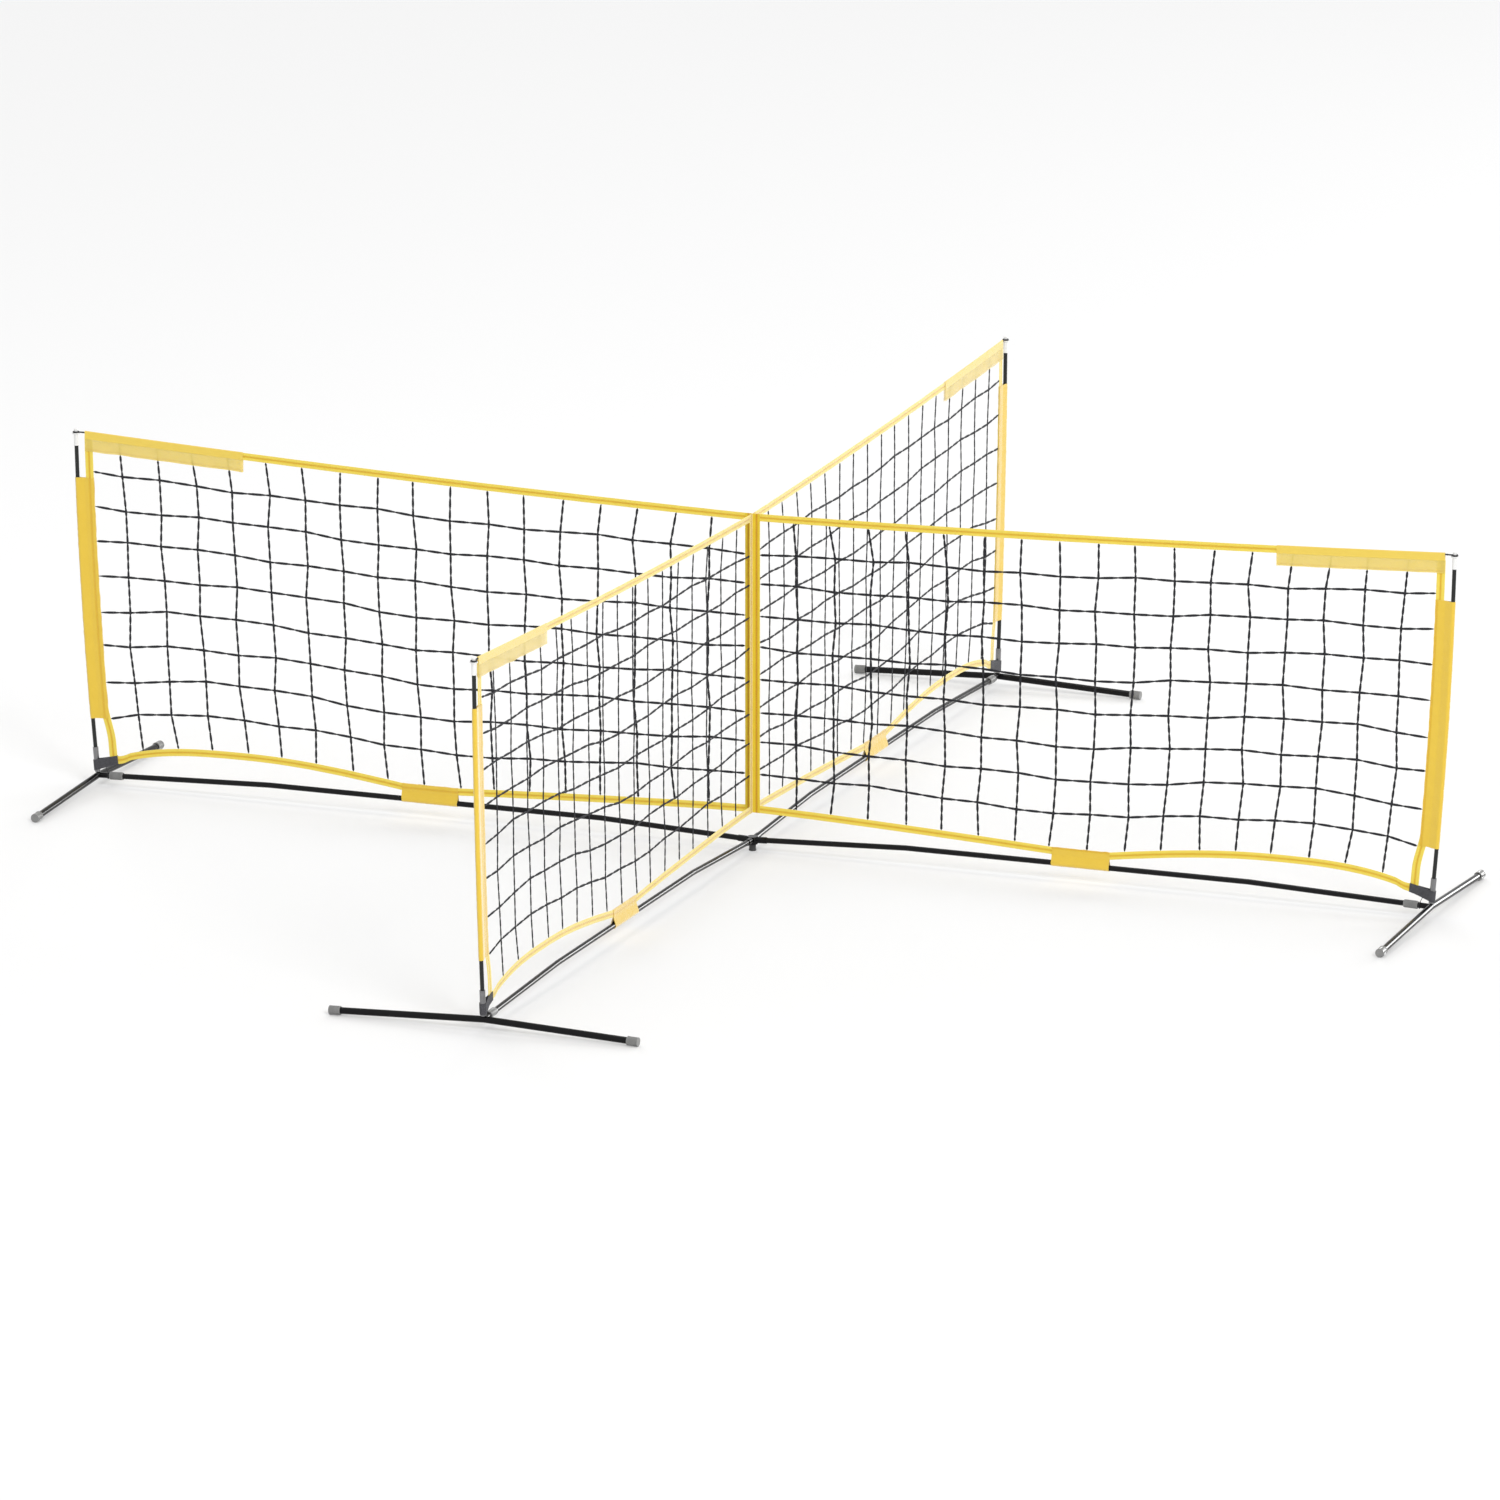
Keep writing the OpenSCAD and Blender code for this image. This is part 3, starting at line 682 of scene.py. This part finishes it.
LONG = net_reach - seam_w
SIDE_LONG = 0.95  # length of the side tape in metres
TAPES = {
    "top_tape": (top_tape, (tape_w * MM, LONG * MM)),
    "bottom_tape": (bottom_tape, (tape_w * MM, LONG * MM)),
    "side_tape": (side_tape, (side_w * MM, SIDE_LONG)),
}
for seed, arm in enumerate(ARMS):
    for part, (maker, flat) in TAPES.items():
        node = f"{arm}_{part}"
        piece = adopt(maker(arm, seed), f"{node}_woven", yellow_tape, "yellow_tape", node)
print("tapes are sewn")

# %% [markdown]
# ## Centre seam
#
# Where the four nets meet, their edges are sewn into one another: four fins of tape that
# leave the axis at right angles. Each fin is a strip of its own in one mesh.


# %% Centre seam
def seam_fins():
    low = bottom_edge(seam_w) - tape_w
    high = top_edge(seam_w)

    def place(u, v):
        z = low + u * (high - low)
        return 0.2 + v * (seam_w - 0.2), 0.35 * v * ripple(z / 45, 8, 1), z

    def measure(u, v):
        return u * (high - low), (v - 0.55) * seam_w

    whole = bmesh.new()
    for k, arm in enumerate(ARMS):
        fin = on_arm(cloth_mesh(120, 8, place, measure, tape_t, None), arm)
        whole.from_mesh(fin)
    mesh = bpy.data.meshes.new("seam")
    whole.to_mesh(mesh)
    whole.free()
    return mesh, (high - low) * MM


seam_mesh, seam_height = seam_fins()
# The seam's deeper yellow is painted shade between the panels.
piece = adopt(seam_mesh, "centre_seam_woven", shaded_seam_tape, "yellow_tape", "centre_seam")
print("seam is", round(seam_height, 3), "m high")

# %% [markdown]
# ## Sleeves
#
# A sleeve is one strip of cloth round a tube, with both of its ends sewn to the two sides
# of the net's tape. Its section is a drop: an arc round the tube, then two leaves that
# close on the tape. The path of that drop is worked out once, and the cloth is drawn along
# the tube with small puckers that only ever stand outward, clear of what lies inside.


# %% Sleeve section
def drop_path(r, d, h, tail):
    """Points of the drop from one leaf's end to the other, the tube's axis at (0, 0)."""
    b = asin(r / hypot(d, h)) - atan2(h, d)
    arc = [(pi / 2 + b) * (1 - i / 12) for i in range(13)]
    leaf = [(-tail + (tail - d) * i / 6, h) for i in range(7)]
    half = leaf + [(r * cos(a), r * sin(a)) for a in arc]
    return half + [(x, -y) for x, y in reversed(half[:-1])]


def measured(path):
    """The same points with their distance along the path."""
    total, out = 0.0, [(0.0, path[0])]
    for a, b in zip(path, path[1:]):
        total += hypot(b[0] - a[0], b[1] - a[1])
        out.append((total, b))
    return out


def along_path(path, share):
    """Place, outward direction and distance at a share of a measured path."""
    want = share * path[-1][0]
    k = next((i for i in range(1, len(path)) if path[i][0] >= want - 1e-9), len(path) - 1)
    (s0, a), (s1, b) = path[k - 1], path[k]
    t = (want - s0) / (s1 - s0)
    dx, dy = (b[0] - a[0]) / (s1 - s0), (b[1] - a[1]) / (s1 - s0)
    return (a[0] + t * (b[0] - a[0]), a[1] + t * (b[1] - a[1])), (-dy, dx), want


def pucker(s, along, seed, depth):
    """Small folds that run off the sewn lines and stand outward only."""
    fold = ripple(s / 22 + along / 60, along / 11, seed) + 0.5 * ripple(s / 9, along / 5, seed + 3)
    return depth * max(0.0, 0.35 + 0.65 * fold)


clear_cloth = tape_t / 2 + gap + cloth_t / 2
sleeve_r, tab_r = rod_od / 2 + gap + cloth_t / 2, pole_od / 2 + gap + cloth_t / 2
sleeve_path = measured(drop_path(sleeve_r, sleeve_w - side_w - 4, clear_cloth, sleeve_w))
tab_path = measured(drop_path(tab_r, tab_h - tape_w - 2, clear_cloth, tab_h))
print(f"sleeve cloth is {sleeve_path[-1][0]:.0f} mm round, tab cloth {tab_path[-1][0]:.0f} mm")


# %% Post sleeves and pole sleeves
def post_sleeve(arm, seed):
    tall = sleeve_high_z - sleeve_low_z

    def place(u, v):
        (sx, sy), (nx, ny), s = along_path(sleeve_path, v)
        end = min(u, 1 - u) * tall
        z = sleeve_low_z + u * tall + 1.2 * ripple(s / 30, 0, seed) * max(0, 1 - end / 20)
        out = pucker(s, z, seed, 0.55)
        edge = max(0.0, 1 - min(v, 1 - v) / 0.05)
        sx += nx * out - 0.8 * edge * ripple(z / 26, 2, seed)
        sy += ny * out
        tilt = post_tilt(z)
        return post_x(z) + sx * cos(tilt), sy, z - sx * sin(tilt)

    def measure(u, v):
        return u * tall, v * sleeve_path[-1][0]

    return on_arm(cloth_mesh(170, 44, place, measure, cloth_t, None), arm)


def pole_sleeve(arm, seed):
    def place(u, v):
        (sx, sy), (nx, ny), s = along_path(tab_path, v)
        x = tab_in + u * tab_len
        out = pucker(s, x, seed + 20, 0.5)
        edge = max(0.0, 1 - min(v, 1 - v) / 0.05)
        sx += nx * out - 0.6 * edge * ripple(x / 20, 2, seed)
        sy += ny * out
        return x + 0.8 * ripple(s / 20, 1, seed) * (2 * u - 1), sy, pole_crown_z - sx

    def measure(u, v):
        return u * tab_len, v * tab_path[-1][0]

    return on_arm(cloth_mesh(60, 44, place, measure, cloth_t, None), arm)


for seed, arm in enumerate(ARMS):
    for part, maker, path, long, inside in (
        ("post_sleeve", post_sleeve, sleeve_path, sleeve_high_z - sleeve_low_z, "post"),
        ("pole_sleeve", pole_sleeve, tab_path, tab_len, "ground_pole"),
    ):
        node = f"{arm}_{part}"
        piece = adopt(maker(arm, seed), f"{node}_cloth", sleeve_cloth, "yellow_cloth", node)
        flat = (path[-1][0] * MM, long * MM)
print("sleeves are on")

# %% [markdown]
# ## Band on the top tape
#
# Near each post a wider band of thin cloth is folded over the top tape. Its two leaves hang
# below the tape on both sides of the cords. The fold is a small half circle over the tape.


# %% Bands
def top_band(arm, seed):
    y_leaf = (max(tape_t, cord_t) + 2 * gap + cloth_t) / 2
    fold_z = gap + cloth_t / 2 - y_leaf
    leaf = band_h + fold_z
    fold = pi * y_leaf
    round_it = 2 * leaf + fold

    def place(u, v):
        x = net_reach - band_len + u * band_len
        s = v * round_it
        if s < leaf:
            y, dz = -y_leaf, s - leaf
        elif s < leaf + fold:
            a = (s - leaf) / y_leaf
            y, dz = -y_leaf * cos(a), y_leaf * sin(a)
        else:
            y, dz = y_leaf, leaf + fold - s
        hang = max(0.0, -dz / leaf)
        side = -1 if y < 0 else 1
        out = 1.1 * hang * max(0.0, 0.4 + 0.8 * ripple(x / 40, dz / 45, seed + 5 * side + 9))
        hem = 1.4 * hang * ripple(x / 55, 4 + side, seed)
        return x, y + side * out, top_edge(x) + fold_z + dz + hem

    def measure(u, v):
        return u * band_len, abs(v - 0.5) * round_it

    return on_arm(cloth_mesh(130, 40, place, measure, cloth_t, None), arm), round_it


for seed, arm in enumerate(ARMS):
    mesh, round_it = top_band(arm, seed)
    piece = adopt(mesh, f"{arm}_top_band_cloth", band_cloth, "yellow_cloth", f"{arm}_top_band")
    round_it * MM
print("bands are", round(round_it), "mm round the fold")

# %% [markdown]
# ## Straps
#
# A strap of webbing runs round the post's socket and holds the net's lower corner. It
# slopes down to the post. Seen from above it is the same drop as a sleeve, and its upper
# and lower edges are two sloping lines.

# %% Straps
strap_tail = sleeve_w + 17
strap_r, clear_strap = socket_od / 2 + gap + strap_t / 2, tape_t / 2 + gap + strap_t / 2
strap_path = measured(drop_path(strap_r, strap_tail - side_w - 4, clear_strap, strap_tail))


def strap_low(x):
    return net_corner_z + 1 - strap_w - (strap_fall + 5) * (x - corner_x) / (strap_tail + socket_od / 2)


def strap_high(x):
    fall = max(0.0, x - corner_x) / (arm_reach + 20 - corner_x)
    return net_corner_z + 1 - strap_fall * fall


def strap(arm, seed):
    def place(u, v):
        (sx, sy), (nx, ny), s = along_path(strap_path, u)
        guess = post_x(80) + sx
        low, high = strap_low(max(guess, corner_x)), strap_high(guess)
        z = low + v * (high - low)
        out = 0.25 * max(0.0, ripple(s / 14, z / 20, seed))
        return post_x(z) + sx + nx * out, sy + ny * out, z

    def measure(u, v):
        return u * strap_path[-1][0], v * strap_w

    return on_arm(cloth_mesh(90, 10, place, measure, strap_t, None), arm)


for seed, arm in enumerate(ARMS):
    node = f"{arm}_strap"
    piece = adopt(strap(arm, seed), f"{node}_webbing", dark_webbing, "dark_webbing", node)
    flat = (strap_w * MM, strap_path[-1][0] * MM)
print(f"strap is {strap_path[-1][0]:.0f} mm long")

# %% [markdown]
# ## The net
#
# Each panel has seventeen upright cords and eight level ones, of flat cord that is twisted
# as it is knotted, so it shows as a row of small bow ties. Each cord is a row of flat rings
# that lie in the panel's plane for a while and then turn over, pressed flat by the pull of
# the net. At each crossing sits a small tight knot, and the knots stray a little from an
# even grid, as in any hand-tied net.

# %% Knots
last_col, last_row = upright_cords + 1, level_cords + 1
mesh_pitch = (side_in(net_top_post) - seam_w) / (upright_cords + 0.86)


def wander(i, k, s):
    a, b = radians(127 * i + 71 * k + s), radians(53 * i - 149 * k + 2 * s)
    return cord_wander * (sin(a) + sin(b)) / 2


def row_z(k):
    return net_top_post - tape_w - (net_top_post - tape_w - net_corner_z) * k / last_row


def knot_z(x, i, k):
    high, low = top_edge(x) - tape_w - gap, bottom_edge(x) + gap
    if k in (0, last_row):
        return high if k == 0 else low
    lift = 14 * sin(pi * k / last_row) * (x / arm_reach) ** 4
    return high - (high - low) * k / last_row + lift + wander(i, k, 200)


def col_x(i, k):
    if i == 0:
        return seam_w + gap
    if i == last_col:
        return side_in(knot_z(side_in(row_z(k)), i, k)) - gap
    lean = 0.75 * (side_in(net_top_post) - side_in(row_z(k))) * i / upright_cords
    fan = end_fan * (2 * i / last_col - 1) if k == 0 else 0
    return seam_w + i * mesh_pitch - lean + fan + wander(i, k, 40)


def knot(i, k):
    x = col_x(i, k)
    return Vector((x, 0.0, knot_z(x, i, k)))


print("mesh pitch is", round(mesh_pitch, 1), "mm")


# %% Net cords
half_w, lobe, waist = cord_w / 2, 1.15 * cord_t / 2, 0.62 * cord_t / 2
pressed, squeezed = cord_t / cord_w, 0.7
sewn_in = 4  # mm of each cord inside the tape
TWO_STRANDS = [(half_w, 0), (0.62 * half_w, lobe), (0, waist), (-0.62 * half_w, lobe)]
TWO_STRANDS += [(-a, -b) for a, b in TWO_STRANDS]
Y_AXIS = Vector((0, 1, 0))


def under_band(p, margin):
    return p.x > net_reach - band_len - margin and p.z > top_edge(p.x) - band_h - margin


def cord_line(knots, step):
    """Points along a cord that is sewn into a tape at both ends, with distance and size."""
    first = (knots[0] - knots[1]).normalized() * sewn_in
    final = (knots[-1] - knots[-2]).normalized() * sewn_in
    ends = [knots[0] + first] + knots + [knots[-1] + final]
    line, done = [], 0.0
    for a, b in zip(ends, ends[1:]):
        count = max(1, ceil((b - a).length / step))
        line += [(a + (b - a) * j / count, done + (b - a).length * j / count) for j in range(count)]
        done += (b - a).length
    line.append((ends[-1], done))
    for p, s in line:
        near_end = min(s, done - s) < sewn_in + 0.5
        yield p, s, 0.24 if near_end else 0.5 if under_band(p, 2) else 1.0


def twisted_cord(shape, knots, step, half_turn, phase):
    """Adds a flat cord in the plane y = 0, which lies flat for a while and then turns over."""
    line, rings = list(cord_line(knots, step)), []
    for k, (p, s, size) in enumerate(line):
        along = (line[min(k + 1, len(line) - 1)][0] - line[max(k - 1, 0)][0]).normalized()
        t = phase + pi * s / half_turn
        tilt = t - 0.42 * sin(2 * t)
        flat = along.cross(Y_AXIS)
        across = flat * cos(tilt) + Y_AXIS * (pressed * sin(tilt))
        out = Y_AXIS * (squeezed * cos(tilt)) - flat * sin(tilt)
        rings.append([shape.verts.new((p + (a * across + b * out) * size) * MM) for a, b in TWO_STRANDS])
    for one, two in zip(rings, rings[1:]):
        for j in range(len(one)):
            shape.faces.new((one[j - 1], one[j], two[j], two[j - 1]))
    shape.faces.new(rings[0])
    shape.faces.new(rings[-1])


def tight_knot(shape, i, k):
    p = knot(i, k)
    size = Vector((4.9, 1.8 if under_band(p, 4) else 2.2, 4.3)) * MM
    turn = Matrix.Rotation(0.7 + 0.4 * sin(i + 2 * k), 4, "Y")
    place = Matrix.Translation(p * MM) @ turn @ Matrix.Diagonal((*size, 1.0))
    bmesh.ops.create_uvsphere(shape, u_segments=8, v_segments=6, radius=1.0, matrix=place)


def net_panel():
    shape = bmesh.new()
    for i in range(1, last_col):
        upright = [knot(i, k) for k in range(last_row + 1)]
        twisted_cord(shape, upright, 3.7, 29 + 3 * sin(i), 1.7 * i)
    for k in range(1, last_row):
        level = [knot(i, k) for i in range(last_col + 1)]
        twisted_cord(shape, level, 6.2, 52 + 5 * sin(2 * k), 2.3 * k)
    for i in range(1, last_col):
        for k in range(1, last_row):
            tight_knot(shape, i, k)
    bmesh.ops.recalc_face_normals(shape, faces=shape.faces)
    mesh = bpy.data.meshes.new("panel")
    shape.to_mesh(mesh)
    shape.free()
    mesh.shade_smooth()
    return mesh


panel = net_panel()
panel.calc_loop_triangles()
print("a net panel has", len(panel.loop_triangles), "triangles")
for arm in ARMS:
    adopt(on_arm(panel.copy(), arm), f"{arm}_net_cords", net_cord, "net_cord", f"{arm}_net_mesh")

# %% [markdown]
# ## Corner cords and tie cords
#
# A short thick cord hangs the top tape's corner on the groove of the white cap: a loop round
# the cap's neck whose two ends are knotted and sewn to the tape. A thin tie runs from the
# foot's stub up to the strap. Both are curves with a round section.


# %% Round cord maker
def round_cord(points, diameter, closed=False):
    """A mesh of a round cord through points in mm."""
    data = bpy.data.curves.new("cord", "CURVE")
    data.dimensions, data.bevel_depth, data.bevel_resolution = "3D", diameter / 2 * MM, 3
    data.use_fill_caps, data.resolution_u = True, 6
    line = data.splines.new("NURBS")
    line.points.add(len(points) - 1)
    for spot, p in zip(line.points, points):
        spot.co = (*(Vector(p) * MM), 1.0)
    line.order_u, line.use_endpoint_u, line.use_cyclic_u = 3, not closed, closed
    holder = bpy.data.objects.new("cord", data)
    bpy.context.scene.collection.objects.link(holder)
    mesh = bpy.data.meshes.new_from_object(
        holder.evaluated_get(bpy.context.evaluated_depsgraph_get())
    )
    bpy.data.objects.remove(holder)
    return mesh


def gathered(meshes):
    """One mesh from several."""
    shape = bmesh.new()
    for mesh in meshes:
        shape.from_mesh(mesh)
    whole = bpy.data.meshes.new("gathered")
    shape.to_mesh(whole)
    shape.free()
    whole.shade_smooth()
    return whole


def ring_points(radius, count=16):
    return [(radius * cos(2 * pi * i / count), radius * sin(2 * pi * i / count), 0.0) for i in range(count)]


print("round cords are ready")

# %% Corner cords
neck_r, groove_low = 4.8, 36.5
cord_seat = groove_low + gap + corner_cord_d / 2
rod_drop, cap_grip = 13, 30
cap_low_z = net_top_post - rod_drop - cap_grip
cap_tilt = post_tilt(cap_low_z)
to_cap = (
    Matrix.Translation(Vector((post_x(cap_low_z), 0, cap_low_z)) * MM)
    @ Matrix.Rotation(cap_tilt, 4, "Y")
    @ Matrix.Translation((0, 0, cord_seat * MM))
)
ring = neck_r + gap + corner_cord_d / 2
strand_end = post_x(net_top_post) - net_reach
corner_cords = []
for arm in ARMS:
    loop = round_cord(ring_points(1.03 * ring), corner_cord_d, closed=True)
    slack = [(-ring, 0, 0), (-0.5 * (ring + strand_end), 0.3, -0.4), (-strand_end - 1.5, 0, -0.6)]
    strand = round_cord(slack, corner_cord_d)
    coil = [(2.2 * cos(a * pi / 4), 2.2 * sin(a * pi / 4) - 0.5) for a in range(8)]
    whipping = [
        round_cord([(-strand_end + 5 + 1.1 * k, y * 1.04, z * 1.04) for y, z in coil], 1.1, closed=True)
        for k in (0, 1, 2)
    ]
    corner = gathered([loop, strand, *whipping])
    corner.transform(to_cap)
    corner_cords.append(on_arm(corner, arm))
adopt(gathered(corner_cords), "corner_cords_braid", black_cord, "black_cord", "corner_cords")
print("corner cords are tied")

# %% Tie cords
drop_out = atan((pole_crown_z - leg_crown_z) / bend_out)
tie_back = joint_back - collar_len / 2 - 5
tie_r = stub_od / 2 + gap + tie_cord_d / 2
tie_x = arm_reach - tie_back * cos(drop_out)
tie_z = leg_crown_z + tie_back * sin(drop_out)
to_stub = Matrix.Translation(Vector((tie_x, 0, tie_z)) * MM) @ Matrix.Rotation(pi / 2 + drop_out, 4, "Y")
tie_cords = []
for arm in ARMS:
    loop = round_cord(ring_points(1.03 * tie_r), tie_cord_d, closed=True)
    loop.transform(to_stub)
    high_x = tie_x + 8
    foot_of_tie = (tie_x, 0, tie_z + tie_r)
    bend, top = (tie_x + 3.4, 0.2, tie_z + tie_r + 5), (high_x, 0, strap_low(high_x) - 0.2)
    strand = round_cord([foot_of_tie, bend, top], tie_cord_d)
    tie_cords.append(on_arm(gathered([loop, strand]), arm))
adopt(gathered(tie_cords), "tie_cords_braid", black_cord, "black_cord", "tie_cords")
print("tie cords are tied")
